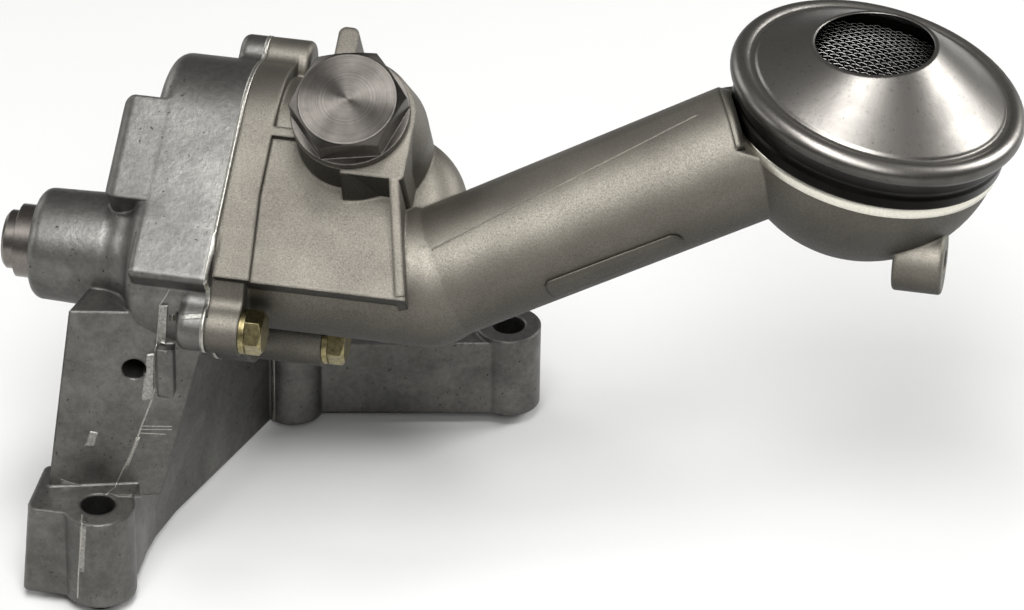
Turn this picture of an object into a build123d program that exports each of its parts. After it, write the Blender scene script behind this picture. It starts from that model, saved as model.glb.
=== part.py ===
from build123d import *

import math
import os

# Engine oil pump: a gear pump with its pickup strainer, in millimetres, standing on its mounting face.
# X runs along the drive shaft, away from its driven end. Y runs back from the front foot. Z runs up.
# The origin is on the mounting face, on the bolt axis of the front foot.

# ---------------------------------------------------------------- gears and shafts
SHAFT_Y = 36.0
SHAFT_Z = 80.5
CENTRE_LINE_TILT = 32.0
GEAR_MODULE = 3.2
GEAR_TEETH = 10
PRESSURE_ANGLE = 28.0
GEAR_BACKLASH = 0.3
GEAR_WIDTH = 18.9
TIP_CLEARANCE = 0.15
END_CLEARANCE = 0.05
RUNNING_CLEARANCE = 0.04
SHAFT_RADIUS = 8.0
SHAFT_COLLAR_RADIUS = 9.5
SHAFT_COLLAR_LENGTH = 4.7
SPIGOT_RADIUS = 7.6
SPIGOT_LENGTH = 3.6
SPIGOT_THREAD_RADIUS = 3.4
SPIGOT_THREAD_DEPTH = 16.0
SHAFT_TAIL = 9.0
KEY_WIDTH = 4.0
KEY_HEIGHT = 4.0
KEY_LENGTH = 12.0
AXLE_RADIUS = 6.0
BUSH_WALL = 1.6

# ---------------------------------------------------------------- pump body
JOINT_X = 27.5
END_WALL = 4.0
CASE_WALL = 4.7
DRIVE_BOSS_RADIUS = 14.4
DRIVE_BOSS_LENGTH = 28.0
DRIVE_BOSS_FLARE = 5.5
CASE_EDGE_ROUND = 4.2
SHELF_TOP = 24.0
SHELF_BOTTOM = -14.0
SHELF_START = -3.9
SHELF_FRONT = 4.5
SHELF_BACK = 33.5
SHELF_ROUND = 3.2
EAR_RADIUS = 6.4
EAR_INSET = 0.8
LONG_EAR_RADIUS = 5.6
BODY_EAR_LENGTH = 7.5
EAR_BLEND = 4.0

# ---------------------------------------------------------------- feet, leg, web and arm
FOOT_HEIGHT = 26.2
FOOT_RADIUS = 9.4
FOOT_BORE_RADIUS = 4.5
FOOT_REACH = 17.6
FOOT_FRONT = 5.6
FOOT_DRAFT = 2.1
RIGHT_FOOT_X = 86.7
RIGHT_FOOT_Y = 106.2
RIGHT_FOOT_RADIUS = 8.8
RIGHT_FOOT_HEIGHT = 24.1
SLEEVE_RADIUS = 5.9
SLEEVE_PRESS = 0.25
SLEEVE_LENGTH = 11.0
SLEEVE_PROUD = 3.0
OUTLET_X = 30.5
OUTLET_Y = 89.3
OUTLET_BOSS_RADIUS = 8.4
OUTLET_BOSS_HEIGHT = 40.0
OUTLET_BORE_RADIUS = 4.5
OUTLET_SEAL_RADIUS = 6.4
OUTLET_SEAL_WIRE = 0.9
WEB_THICKNESS = 6.0
WEB_HEIGHT = 66.0
WEB_START = 18.0
LEG_HOLE_RADIUS = 3.1
LEG_HOLE_X = 7.3
LEG_HOLE_Z = 61.5
LEG_PAD_PROUD = 3.2
ARM_FRONT = 1.2
ARM_THICKNESS = 11.0

# ---------------------------------------------------------------- cover
FLANGE_THICKNESS = 8.5
BLOCK_LENGTH = 47.5
BLOCK_FRONT = 14.2
BLOCK_BACK = 29.2
BLOCK_SLOPE = 11.0
PANEL_HEIGHT = 22.0
PANEL_START = 0.8
PANEL_SLANT = 4.5
PANEL_RIB_WIDTH = 2.6
PANEL_RIB_PROUD = 2.0
TOP_RIB_LENGTH = 15.0
BOLT_RADIUS = 3.0
BOLT_HOLE_RADIUS = 3.3
BOLT_HEAD_FLATS = 10.0
BOLT_HEAD_HEIGHT = 4.4
WASHER_RADIUS = 5.8
WASHER_THICKNESS = 1.5
LONG_BOSS_LENGTH = 14.5
LONG_BOSS_RADIUS = 6.6
TOP_BOSS_LENGTH = 3.0
TOP_BOSS_ROUND = 1.6
DOWEL_RADIUS = 3.0
DOWEL_LENGTH = 14.0

# ---------------------------------------------------------------- relief valve
RELIEF_X = 57.0
RELIEF_Q = 30.4
RELIEF_BOSS_RADIUS = 15.2
RELIEF_CORNER = 16.2
RELIEF_FLARE = 2.4
RELIEF_BOSS_TOP = 33.0
RELIEF_BORE_RADIUS = 8.0
RELIEF_BORE_BOTTOM = -12.0
RELIEF_SEAT_RADIUS = 5.0
PLUG_THREAD_RADIUS = 11.0
PLUG_THREAD_LENGTH = 12.0
PLUG_FLATS = 26.0
PLUG_HEX_HEIGHT = 6.8
PLUG_TURN = 11.0
PLUG_COLLAR_RADIUS = 15.2
PLUG_COLLAR_HEIGHT = 1.6
SEAL_RING_HEIGHT = 1.0
SEAL_RING_WALL = 3.6
PLUNGER_LENGTH = 16.0
PLUNGER_TRAVEL = 6.0
PLUNGER_WALL = 1.6
SPRING_RADIUS = 5.2
SPRING_WIRE = 0.9
SPRING_TURNS = 7

# ---------------------------------------------------------------- suction tube and strainer
TUBE_RADIUS = 17.0
TUBE_END_RADIUS = 18.2
TUBE_WALL = 3.6
CHANNEL_RADIUS = 17.6
CHANNEL_Q = 1.5
CHANNEL_P = 3.5
TUBE_START_X = 79.0
RIM_X = 186.4
RIM_Y = 71.0
RIM_Z = 131.5
RIM_TILT = 11.7
BOWL_RADIUS = 34.8
BOWL_WALL = 3.2
BOWL_DROP = 8.8
RING_BOTTOM = 11.4
RING_HEIGHT = 2.1
LUG_X = 21.6
LUG_Y = -17.9
LUG_Z = -35.8
LUG_RADIUS = 8.3
LUG_LENGTH = 12.6
LUG_HOLE_RADIUS = 3.3
CAP_SHEET = 1.2
CRIMP_STEP = 0.9
BEAD_OVERHANG = 3.4
BEAD_ROOM = 0.8
BEAD_ROLL = 2.9
BEAD_RISE = 1.2
CONE_INSET = 2.8
CONE_BASE_RISE = 4.4
CAP_LAND_RISE = 3.7
MOUTH_RADIUS = 15.0
MOUTH_RISE = 15.0
MOUTH_SHIFT = -1.3
MESH_THICKNESS = 0.9
MESH_RISE = 0.6
MESH_DOME = 6.0

# ---------------------------------------------------------------- worked-out values
CENTRE_DISTANCE = GEAR_MODULE * GEAR_TEETH
PITCH_RADIUS = CENTRE_DISTANCE / 2
TIP_RADIUS = PITCH_RADIUS + GEAR_MODULE
ROOT_RADIUS = PITCH_RADIUS - 1.25 * GEAR_MODULE
CHAMBER_RADIUS = TIP_RADIUS + TIP_CLEARANCE
CASE_RADIUS = CHAMBER_RADIUS + CASE_WALL
CHAMBER_START = JOINT_X - GEAR_WIDTH - 2 * END_CLEARANCE
CASE_START = CHAMBER_START - END_WALL
GEAR_START = CHAMBER_START + END_CLEARANCE
COVER_FACE_X = JOINT_X + FLANGE_THICKNESS
BOSS_FACE_X = CASE_START - DRIVE_BOSS_LENGTH
AXLE_START = SHELF_START + END_WALL / 2
SHAFT_END_X = JOINT_X + SHAFT_TAIL
BUSH_RADIUS = SHAFT_RADIUS + BUSH_WALL
BOLT_CIRCLE = CHAMBER_RADIUS + EAR_RADIUS - EAR_INSET
BEAD_RADIUS = BOWL_RADIUS + BEAD_OVERHANG
CAP_RADIUS = BEAD_RADIUS - BEAD_ROLL
CONE_BASE_RADIUS = BOWL_RADIUS - CONE_INSET
MESH_RADIUS = BOWL_RADIUS - BOWL_WALL / 2
RIM_SEAT = RING_BOTTOM - RING_HEIGHT
RIM = Plane(
    origin=(RIM_X, RIM_Y, RIM_Z),
    x_dir=(math.cos(math.radians(RIM_TILT)), 0, -math.sin(math.radians(RIM_TILT))),
    z_dir=(math.sin(math.radians(RIM_TILT)), 0, math.cos(math.radians(RIM_TILT))),
)

# The gear frame: its origin is on the shaft axis at X = 0, x is the shaft, y ("q") points from the drive
# gear to the idler gear, and z ("p") is the axis of the relief valve.
GEAR_FRAME = Plane(
    origin=(0, SHAFT_Y, SHAFT_Z),
    x_dir=(1, 0, 0),
    z_dir=(0, -math.sin(math.radians(CENTRE_LINE_TILT)), math.cos(math.radians(CENTRE_LINE_TILT))),
)
UP = (Align.CENTER, Align.CENTER, Align.MIN)


def on_circle(centre_q, angle):
    """Place in the gear frame, on the bolt circle round the gear at centre_q."""
    turn = math.radians(angle)
    return (centre_q + BOLT_CIRCLE * math.cos(turn), BOLT_CIRCLE * math.sin(turn))


SHORT_BOLTS = [on_circle(0, 154), on_circle(CENTRE_DISTANCE, -22), on_circle(CENTRE_DISTANCE, -66)]
LONG_BOLT = on_circle(0, -108)
TOP_EAR = on_circle(CENTRE_DISTANCE, 12)
DOWELS = [on_circle(0, -70), TOP_EAR]


def rod(radius, x_from, x_to, q=0.0, p=0.0):
    """Cylinder along X."""
    return Pos(x_from, q, p) * Rot(0, 90, 0) * Cylinder(radius, x_to - x_from, align=UP)


def post(radius, z_from, z_to, x=0.0, y=0.0):
    """Cylinder along Z."""
    return Pos(x, y, z_from) * Cylinder(radius, z_to - z_from, align=UP)


def slab(outline, x_from, x_to):
    """Outline drawn in (q, p), extruded along X."""
    return extrude(Plane.YZ.offset(x_from) * outline, x_to - x_from, dir=(1, 0, 0))


def pipe(start, end, radius, end_radius=None):
    """Round bar between two points, tapered where end_radius is given."""
    start = Vector(*start)
    end = Vector(*end)
    plane = Plane(origin=start, z_dir=end - start)
    length = (end - start).length
    if end_radius is None:
        return plane.location * Cylinder(radius, length, align=UP)
    return plane.location * Cone(radius, end_radius, length, align=UP)


def to_world(shape):
    """Moves a shape from the gear frame to the pump's own frame."""
    return GEAR_FRAME.location * shape


def twin_circle(radius):
    """The outline round both gears."""
    return Pos(CENTRE_DISTANCE / 2, 0) * SlotCenterToCenter(CENTRE_DISTANCE, 2 * radius)


def joint_outline():
    """The outline of the joint between body and cover, with an ear at each bolt and dowel."""
    outline = twin_circle(CASE_RADIUS)
    for q, p in SHORT_BOLTS + DOWELS:
        outline += Pos(q, p) * Circle(EAR_RADIUS)
    outline += Pos(*LONG_BOLT) * Circle(LONG_EAR_RADIUS)
    outline = offset(outline, EAR_BLEND, kind=Kind.ARC)
    return offset(outline, -EAR_BLEND, kind=Kind.ARC)


def tooth_flank(side):
    """One involute flank from the base circle to the tip, on the given side of the tooth's centre line."""
    base = PITCH_RADIUS * math.cos(math.radians(PRESSURE_ANGLE))
    half_tooth = math.pi / (2 * GEAR_TEETH) - GEAR_BACKLASH / (4 * PITCH_RADIUS)
    pitch_roll = math.tan(math.radians(PRESSURE_ANGLE)) - math.radians(PRESSURE_ANGLE)
    points = []
    for step in range(5):
        radius = base + (TIP_RADIUS - base) * step / 4
        roll = math.sqrt((radius / base) ** 2 - 1)
        angle = side * (half_tooth + pitch_roll - (roll - math.atan(roll)))
        points.append((radius * math.cos(angle), radius * math.sin(angle)))
    return points


def gear_outline():
    """Spur gear with GEAR_TEETH involute teeth, one of them on the +q axis."""
    upper = tooth_flank(1)
    lower = tooth_flank(-1)
    foot_angle = math.atan2(upper[0][1], upper[0][0])
    foot = 0.9 * ROOT_RADIUS
    foot_upper = (foot * math.cos(foot_angle), foot * math.sin(foot_angle))
    foot_lower = (foot_upper[0], -foot_upper[1])
    edges = [
        Line(foot_lower, lower[0]),
        Spline(*lower),
        ThreePointArc(lower[-1], (TIP_RADIUS, 0), upper[-1]),
        Spline(*reversed(upper)),
        Line(upper[0], foot_upper),
        Line(foot_upper, foot_lower),
    ]
    tooth = make_face(edges)
    outline = Circle(ROOT_RADIUS)
    for index in range(GEAR_TEETH):
        outline += Rot(0, 0, index * 360 / GEAR_TEETH) * tooth
    return outline


def key_slot(clearance=0.0):
    """The key of the drive gear, half in the shaft and half in the gear."""
    middle = GEAR_START + GEAR_WIDTH / 2
    width = KEY_WIDTH + 2 * clearance
    return Pos(middle, 0, SHAFT_RADIUS) * Box(KEY_LENGTH, width, KEY_HEIGHT + 2 * clearance)


# ---------------------------------------------------------------- pump body
def drive_boss():
    """Bearing boss of the drive shaft, flaring out to the end wall."""
    flare_start = CASE_START - DRIVE_BOSS_FLARE * 1.6
    outer = DRIVE_BOSS_RADIUS + DRIVE_BOSS_FLARE
    profile = make_face([
        Line((BOSS_FACE_X, 0), (BOSS_FACE_X, DRIVE_BOSS_RADIUS - 3)),
        ThreePointArc(
            (BOSS_FACE_X, DRIVE_BOSS_RADIUS - 3),
            (BOSS_FACE_X + 0.9, DRIVE_BOSS_RADIUS - 0.9),
            (BOSS_FACE_X + 3, DRIVE_BOSS_RADIUS),
        ),
        Line((BOSS_FACE_X + 3, DRIVE_BOSS_RADIUS), (flare_start, DRIVE_BOSS_RADIUS + 0.5)),
        ThreePointArc(
            (flare_start, DRIVE_BOSS_RADIUS + 0.5),
            (flare_start + (CASE_START - flare_start) * 0.7, DRIVE_BOSS_RADIUS + DRIVE_BOSS_FLARE * 0.4),
            (CASE_START, outer),
        ),
        Line((CASE_START, outer), (CHAMBER_START, outer)),
        Line((CHAMBER_START, outer), (CHAMBER_START, 0)),
        Line((CHAMBER_START, 0), (BOSS_FACE_X, 0)),
    ])
    return revolve(profile, Axis.X)


def gear_case():
    """The gear case in the gear frame, still solid inside, with the shelf over the idler gear's axle."""
    case = slab(twin_circle(CASE_RADIUS), CASE_START, JOINT_X)
    case = fillet(case.faces().sort_by(Axis.X)[0].edges(), CASE_EDGE_ROUND)
    crown = Pos(CASE_START + END_WALL / 2, -BLOCK_FRONT - 2, 0) * Box(
        JOINT_X - CASE_START - END_WALL / 2, SHELF_BACK + BLOCK_FRONT, SHELF_TOP, align=(Align.MIN, Align.MIN, Align.MIN)
    )
    crown = fillet(crown.edges().filter_by(Axis.Z) + crown.faces().sort_by(Axis.Z)[-1].edges(), 1.6)
    shelf = Pos(SHELF_START, SHELF_FRONT, SHELF_BOTTOM) * Box(
        CHAMBER_START - SHELF_START, SHELF_BACK - SHELF_FRONT, SHELF_TOP - SHELF_BOTTOM,
        align=(Align.MIN, Align.MIN, Align.MIN),
    )
    shelf = fillet(shelf.faces().sort_by(Axis.X)[0].edges(), SHELF_ROUND)
    ears = slab(joint_outline(), JOINT_X - BODY_EAR_LENGTH, JOINT_X)
    ears = fillet(ears.faces().sort_by(Axis.X)[0].edges(), 2.0)
    return case + crown + shelf + ears + drive_boss()


def front_leg():
    """The slanting leg between the gear case and the front foot, with the raised pad on its face."""
    bottom = Plane.XY.offset(FOOT_HEIGHT - 4) * Polygon(
        (-14.9, 4.5), (13.2, 13.0), (9.5, 25.0), (-12.0, 17.0), align=None
    )
    top = Plane.XY.offset(SHAFT_Z - 2) * Polygon(
        (-8.6, 9.5), (JOINT_X - 0.8, 16.2), (JOINT_X - 0.8, 34.0), (-4.0, 31.0), align=None
    )
    leg = loft(Sketch() + [bottom, top], ruled=True)
    pad = Pos(15.6, 13.4 - LEG_PAD_PROUD, 55.0) * Box(4.4, 12.0, 14.4, align=(Align.CENTER, Align.MIN, Align.MIN))
    pad = fillet(pad.edges().filter_by(Axis.Z), 1.2)
    ledge = Pos(17.0, 13.0, 79.0) * Box(JOINT_X - 17.0, 16.0, 3.4, align=(Align.MIN, Align.MIN, Align.MIN))
    return leg + pad + ledge


def front_foot():
    """The front foot: round lug and a block to the left with moulding draft."""
    back = FOOT_RADIUS + 4.6
    bottom = Polygon(
        (-FOOT_REACH - FOOT_DRAFT, -FOOT_FRONT), (0, -FOOT_FRONT), (0, back), (-FOOT_REACH - FOOT_DRAFT, back), align=None
    )
    top = Polygon((-FOOT_REACH, -FOOT_FRONT), (0, -FOOT_FRONT), (0, back), (-FOOT_REACH, back), align=None)
    block = loft(Sketch() + [bottom, Plane.XY.offset(FOOT_HEIGHT) * top], ruled=True)
    block = fillet(block.edges().sort_by(Axis.X)[:4].filter_by(Axis.Y, reverse=True), 2.2)
    lug = post(FOOT_RADIUS, 0, FOOT_HEIGHT)
    rear = Box(FOOT_RADIUS - 1.4, FOOT_RADIUS + 14.0, FOOT_HEIGHT, align=(Align.MIN, Align.MIN, Align.MIN))
    return block + lug + rear


def web_wall():
    """The upright web from the front foot to the outlet boss."""
    outline = Polygon(
        (8.0, WEB_START), (8.6, 24.0), (11.1, 36.0), (OUTLET_X - 5.0, OUTLET_Y - 8.0), (OUTLET_X - 2.0, OUTLET_Y),
        (OUTLET_X - WEB_THICKNESS - 2.0, OUTLET_Y), (8.0 - WEB_THICKNESS, 24.0), (8.0 - WEB_THICKNESS, WEB_START), align=None,
    )
    return extrude(outline, WEB_HEIGHT, dir=(0, 0, 1))


def outlet_neck():
    """The outlet boss on the mounting face and the neck that leads up to the gear case."""
    boss = post(OUTLET_BOSS_RADIUS, 0, OUTLET_BOSS_HEIGHT, OUTLET_X, OUTLET_Y)
    neck = pipe((OUTLET_X, OUTLET_Y, OUTLET_BOSS_HEIGHT - 12), (18.0, 61.0, 76.0), OUTLET_BOSS_RADIUS)
    return boss + neck


def right_arm():
    """The low arm from the outlet boss to the right foot."""
    lug = post(RIGHT_FOOT_RADIUS, 0, RIGHT_FOOT_HEIGHT, RIGHT_FOOT_X, RIGHT_FOOT_Y)
    near = OUTLET_Y - OUTLET_BOSS_RADIUS + 5.6
    far = RIGHT_FOOT_Y - RIGHT_FOOT_RADIUS + ARM_FRONT
    bar = Polygon(
        (OUTLET_X, near), (RIGHT_FOOT_X, far), (RIGHT_FOOT_X, far + ARM_THICKNESS + 3.0),
        (OUTLET_X, near + ARM_THICKNESS), align=None,
    )
    return lug + extrude(bar, RIGHT_FOOT_HEIGHT - 1.2, dir=(0, 0, 1))


def body_passages(body):
    """Cuts the gear chamber, bores, ports and holes into the body."""
    chamber = slab(twin_circle(CHAMBER_RADIUS), CHAMBER_START, JOINT_X + 1)
    bush_seat = rod(BUSH_RADIUS, BOSS_FACE_X + SHAFT_COLLAR_LENGTH, CHAMBER_START + 1)
    collar_seat = rod(SHAFT_COLLAR_RADIUS + 0.6, BOSS_FACE_X - 1, BOSS_FACE_X + SHAFT_COLLAR_LENGTH)
    axle_seat = rod(AXLE_RADIUS, AXLE_START, CHAMBER_START + 1, CENTRE_DISTANCE)
    port = Pos(CHAMBER_START + 5, CENTRE_DISTANCE / 2, -12.0) * Box(
        10.0, 15.0, 14.0, align=(Align.MIN, Align.CENTER, Align.CENTER)
    )
    body -= to_world(chamber + bush_seat + collar_seat + axle_seat + port)
    for q, p in SHORT_BOLTS + [LONG_BOLT]:
        body -= to_world(rod(BOLT_RADIUS, JOINT_X - BODY_EAR_LENGTH - 1, JOINT_X + 1, q, p))
    for q, p in DOWELS:
        body -= to_world(rod(DOWEL_RADIUS, JOINT_X - DOWEL_LENGTH / 2, JOINT_X + 1, q, p))
    body -= post(FOOT_BORE_RADIUS, -1, FOOT_HEIGHT + 1)
    body -= post(SLEEVE_RADIUS + SLEEVE_PRESS, -1, SLEEVE_LENGTH - SLEEVE_PROUD)
    body -= post(FOOT_BORE_RADIUS, -1, RIGHT_FOOT_HEIGHT + 1, RIGHT_FOOT_X, RIGHT_FOOT_Y)
    body -= post(OUTLET_BORE_RADIUS, -1, OUTLET_BOSS_HEIGHT - 10, OUTLET_X, OUTLET_Y)
    body -= pipe((OUTLET_X, OUTLET_Y, OUTLET_BOSS_HEIGHT - 12), (18.0, 59.0, 76.0), OUTLET_BORE_RADIUS - 0.6)
    groove = post(OUTLET_SEAL_RADIUS + OUTLET_SEAL_WIRE, -1, 2 * OUTLET_SEAL_WIRE, OUTLET_X, OUTLET_Y)
    groove -= post(OUTLET_SEAL_RADIUS - OUTLET_SEAL_WIRE, -1, 2 * OUTLET_SEAL_WIRE, OUTLET_X, OUTLET_Y)
    body -= groove
    body -= Pos(LEG_HOLE_X, 0, LEG_HOLE_Z) * Rot(-90, 0, 0) * Cylinder(LEG_HOLE_RADIUS, 30, align=UP)
    return body


def pump_body():
    """Die-cast body: gear case, bearing bosses, leg, web, outlet neck, arm and both feet."""
    stand = front_leg() + front_foot() + web_wall() + outlet_neck() + right_arm()
    behind_joint = Pos(JOINT_X, -FOOT_RADIUS, OUTLET_BOSS_HEIGHT) * Box(
        RIGHT_FOOT_X, RIGHT_FOOT_Y + FOOT_RADIUS, SHAFT_Z, align=(Align.MIN, Align.MIN, Align.MIN)
    )
    stand -= behind_joint
    stand += to_world(gear_case())
    return body_passages(stand)


# ---------------------------------------------------------------- cover
def tube_points():
    """Start and end of the suction tube's axis, in the pump's own frame."""
    start = GEAR_FRAME.from_local_coords(Vector(TUBE_START_X, CHANNEL_Q, CHANNEL_P))
    end = RIM.from_local_coords(Vector(0, 0, -1.6))
    return start, end


def cover_block():
    """The block behind the flange, in the gear frame: suction chamber with its recessed panel and end rib."""
    block_end = JOINT_X + BLOCK_LENGTH
    rib_height = PANEL_HEIGHT + PANEL_RIB_PROUD
    outline = Polygon(
        (-BLOCK_FRONT, rib_height), (BLOCK_BACK, rib_height), (BLOCK_BACK + 8, -4.0), (BLOCK_BACK - 4, -18.0),
        (CHANNEL_Q + 2.0, CHANNEL_P - TUBE_RADIUS + 1.0), (CHANNEL_Q - 8.0, CHANNEL_P + 4.0),
        (-BLOCK_FRONT + 2.0, PANEL_HEIGHT - 7.0), align=None,
    )
    block = slab(outline, JOINT_X + 1, block_end + 8)
    end_cut = Pos(block_end, 0, 0) * Rot(0, 0, BLOCK_SLOPE) * Box(
        BLOCK_LENGTH, 4 * BLOCK_LENGTH, 2 * BLOCK_LENGTH, align=(Align.MIN, Align.CENTER, Align.CENTER)
    )
    back_cut = Pos(JOINT_X + TOP_RIB_LENGTH, BLOCK_BACK, PANEL_HEIGHT) * Box(
        BLOCK_LENGTH, BLOCK_BACK, BLOCK_BACK, align=(Align.MIN, Align.MIN, Align.MIN)
    )
    panel = Pos(COVER_FACE_X + PANEL_START, 0, PANEL_HEIGHT) * Rot(0, 0, PANEL_SLANT) * Box(
        2 * BLOCK_LENGTH, 4 * BLOCK_FRONT, 2 * PANEL_RIB_PROUD, align=(Align.MIN, Align.CENTER, Align.MIN)
    )
    panel -= Pos(COVER_FACE_X, BLOCK_BACK - PANEL_RIB_WIDTH, 0) * Box(
        3 * BLOCK_LENGTH, BLOCK_BACK, 2 * BLOCK_BACK, align=(Align.CENTER, Align.MIN, Align.MIN)
    )
    gusset = slab(
        Polygon(
            (-BLOCK_FRONT + 1.0, 0), (-BLOCK_FRONT + 1.0, PANEL_HEIGHT + 0.4), (RELIEF_Q - RELIEF_CORNER, RELIEF_BOSS_TOP),
            (RELIEF_Q, RELIEF_BOSS_TOP), (RELIEF_Q, 0), align=None,
        ), 0, 12,
    )
    gusset = Pos(block_end - PANEL_RIB_WIDTH, 0, 0) * Rot(0, 0, BLOCK_SLOPE) * gusset
    return block - panel - back_cut + gusset - end_cut


def relief_housing():
    """Boss of the relief valve with its square corner, and the round shoulder beside it, in the gear frame."""
    boss = post(RELIEF_BOSS_RADIUS, -22.0, RELIEF_BOSS_TOP, RELIEF_X, RELIEF_Q)
    corner = Pos(RELIEF_X, RELIEF_Q, -10.0) * Box(
        RELIEF_CORNER, RELIEF_CORNER, RELIEF_BOSS_TOP + 10.0, align=(Align.MIN, Align.MAX, Align.MIN)
    )
    corner = fillet(corner.edges().filter_by(Axis.Z), 1.2)
    flare = Pos(RELIEF_X, RELIEF_Q, PANEL_HEIGHT) * Cone(
        RELIEF_BOSS_RADIUS + RELIEF_FLARE + 1.0, RELIEF_BOSS_RADIUS + 1.0, RELIEF_BOSS_TOP - PANEL_HEIGHT, align=UP
    )
    flare += post(RELIEF_BOSS_RADIUS + RELIEF_FLARE + 1.0, 0, PANEL_HEIGHT, RELIEF_X, RELIEF_Q)
    flare &= Pos(RELIEF_X, RELIEF_Q, 0) * Box(
        2 * RELIEF_CORNER, 4 * RELIEF_CORNER, RELIEF_BOSS_TOP, align=(Align.MIN, Align.CENTER, Align.MIN)
    )
    shoulder = post(22.0, -20.0, 13.0, RELIEF_X + 7.0, RELIEF_Q - 12.0)
    shoulder = fillet(shoulder.edges(), 9.0)
    idler_hood = rod(21.0, COVER_FACE_X - 2, RELIEF_X + 4, CENTRE_DISTANCE)
    idler_hood = fillet(idler_hood.faces().sort_by(Axis.X)[-1].edges(), 8.0)
    tab = Pos(48.4, 54.6, 8.0) * Box(5.4, 18.4, 14.0)
    tab = fillet(tab.edges().filter_by(Axis.Z), 2.0)
    return boss + corner + flare + shoulder + idler_hood + tab


def cover_casting():
    """Outside of the cover in the gear frame, before its passages are cut."""
    cover = slab(joint_outline(), JOINT_X, COVER_FACE_X)
    cover += cover_block() + relief_housing()
    cover += rod(LONG_BOSS_RADIUS, JOINT_X, COVER_FACE_X + LONG_BOSS_LENGTH, *LONG_BOLT)
    top_boss = rod(EAR_RADIUS, JOINT_X, COVER_FACE_X + TOP_BOSS_LENGTH, *TOP_EAR)
    cover += fillet(top_boss.faces().sort_by(Axis.X)[-1].edges(), TOP_BOSS_ROUND)
    cover += rod(CHANNEL_RADIUS, COVER_FACE_X, TUBE_START_X, CHANNEL_Q, CHANNEL_P)
    cover += Pos(TUBE_START_X, CHANNEL_Q, CHANNEL_P) * Sphere(CHANNEL_RADIUS)
    return cover


def bowl_outside():
    """Strainer bowl in the rim's frame, with the machined ring at its rim."""
    bowl = Pos(0, 0, -BOWL_DROP) * Sphere(BOWL_RADIUS)
    bowl -= Pos(0, 0, -RING_BOTTOM) * Cylinder(2 * BOWL_RADIUS, 2 * BOWL_RADIUS, align=UP)
    ring = Pos(0, 0, -RING_BOTTOM) * Cylinder(BOWL_RADIUS - 0.6, RING_HEIGHT, align=UP)
    return bowl + ring


def bracket_lug():
    """Round lug under the bowl for the screw of the strainer's stay, and the hole through it."""
    place = Pos(RIM_X + LUG_X, RIM_Y + LUG_Y, RIM_Z + LUG_Z) * Rot(0, -90, 0)
    lug = Cylinder(LUG_RADIUS, LUG_LENGTH, align=UP)
    lug = fillet(lug.edges(), 1.0)
    hole = Cylinder(LUG_HOLE_RADIUS, LUG_LENGTH, align=UP)
    return place * lug, place * hole


def cover_passages(cover):
    """Cuts the suction way, the relief bore and the holes into the cover."""
    start, end = tube_points()
    suction = rod(TUBE_RADIUS - TUBE_WALL - 1.4, JOINT_X + 12, TUBE_START_X, CHANNEL_Q, CHANNEL_P)
    suction += Pos(TUBE_START_X, CHANNEL_Q, CHANNEL_P) * Sphere(TUBE_RADIUS - TUBE_WALL)
    suction += Pos(JOINT_X - 1, CENTRE_DISTANCE / 2 - 2, 9.0) * Box(
        14.0, 15.0, 9.0, align=(Align.MIN, Align.CENTER, Align.CENTER)
    )
    relief = post(RELIEF_BORE_RADIUS, RELIEF_BORE_BOTTOM, RELIEF_BOSS_TOP + 1, RELIEF_X, RELIEF_Q)
    relief += post(RELIEF_SEAT_RADIUS, RELIEF_BORE_BOTTOM - 4, RELIEF_BORE_BOTTOM, RELIEF_X, RELIEF_Q)
    relief += post(
        PLUG_THREAD_RADIUS, RELIEF_BOSS_TOP - PLUG_THREAD_LENGTH - 1, RELIEF_BOSS_TOP + 1, RELIEF_X, RELIEF_Q
    )
    tail_bore = rod(BUSH_RADIUS, JOINT_X - 1, SHAFT_END_X + 1)
    axle_bore = rod(AXLE_RADIUS, JOINT_X - 1, JOINT_X + 6, CENTRE_DISTANCE)
    cover -= to_world(suction + relief + tail_bore + axle_bore)
    for q, p in SHORT_BOLTS:
        cover -= to_world(rod(BOLT_HOLE_RADIUS, JOINT_X - 1, COVER_FACE_X + 1, q, p))
        cover -= to_world(rod(WASHER_RADIUS + 0.8, COVER_FACE_X, COVER_FACE_X + 16, q, p))
    cover -= to_world(rod(BOLT_HOLE_RADIUS, JOINT_X - 1, COVER_FACE_X + LONG_BOSS_LENGTH + 1, *LONG_BOLT))
    cover -= to_world(
        rod(WASHER_RADIUS + 0.8, COVER_FACE_X + LONG_BOSS_LENGTH, COVER_FACE_X + LONG_BOSS_LENGTH + 16, *LONG_BOLT)
    )
    for q, p in DOWELS:
        cover -= to_world(rod(DOWEL_RADIUS, JOINT_X - 1, JOINT_X + DOWEL_LENGTH / 2, q, p))
    way = pipe(start, end, TUBE_RADIUS - TUBE_WALL, TUBE_END_RADIUS - TUBE_WALL)
    roof = Pos(0, 0, -RING_BOTTOM - TUBE_WALL) * Cylinder(2 * BEAD_RADIUS, BEAD_RADIUS, align=UP)
    cover -= way - RIM.location * roof
    cup = Pos(0, 0, -BOWL_DROP) * Sphere(BOWL_RADIUS - BOWL_WALL)
    cup += Pos(0, 0, -RING_BOTTOM - 1) * Cylinder(BOWL_RADIUS - BOWL_WALL - 1, BOWL_RADIUS, align=UP)
    cover -= RIM.location * cup
    return cover


def pump_cover():
    """Sand-cast cover: flange, relief-valve boss, suction tube and strainer bowl in one casting."""
    start, end = tube_points()
    cover = to_world(cover_casting())
    tube = pipe(start, end, TUBE_RADIUS, TUBE_END_RADIUS)
    tube -= RIM.location * (Pos(0, 0, -RING_BOTTOM) * Cylinder(BEAD_RADIUS + BEAD_ROOM, BEAD_RADIUS, align=UP))
    lug, hole = bracket_lug()
    cover += tube
    cover += RIM.location * bowl_outside()
    cover += lug
    return cover_passages(cover) - hole


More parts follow.
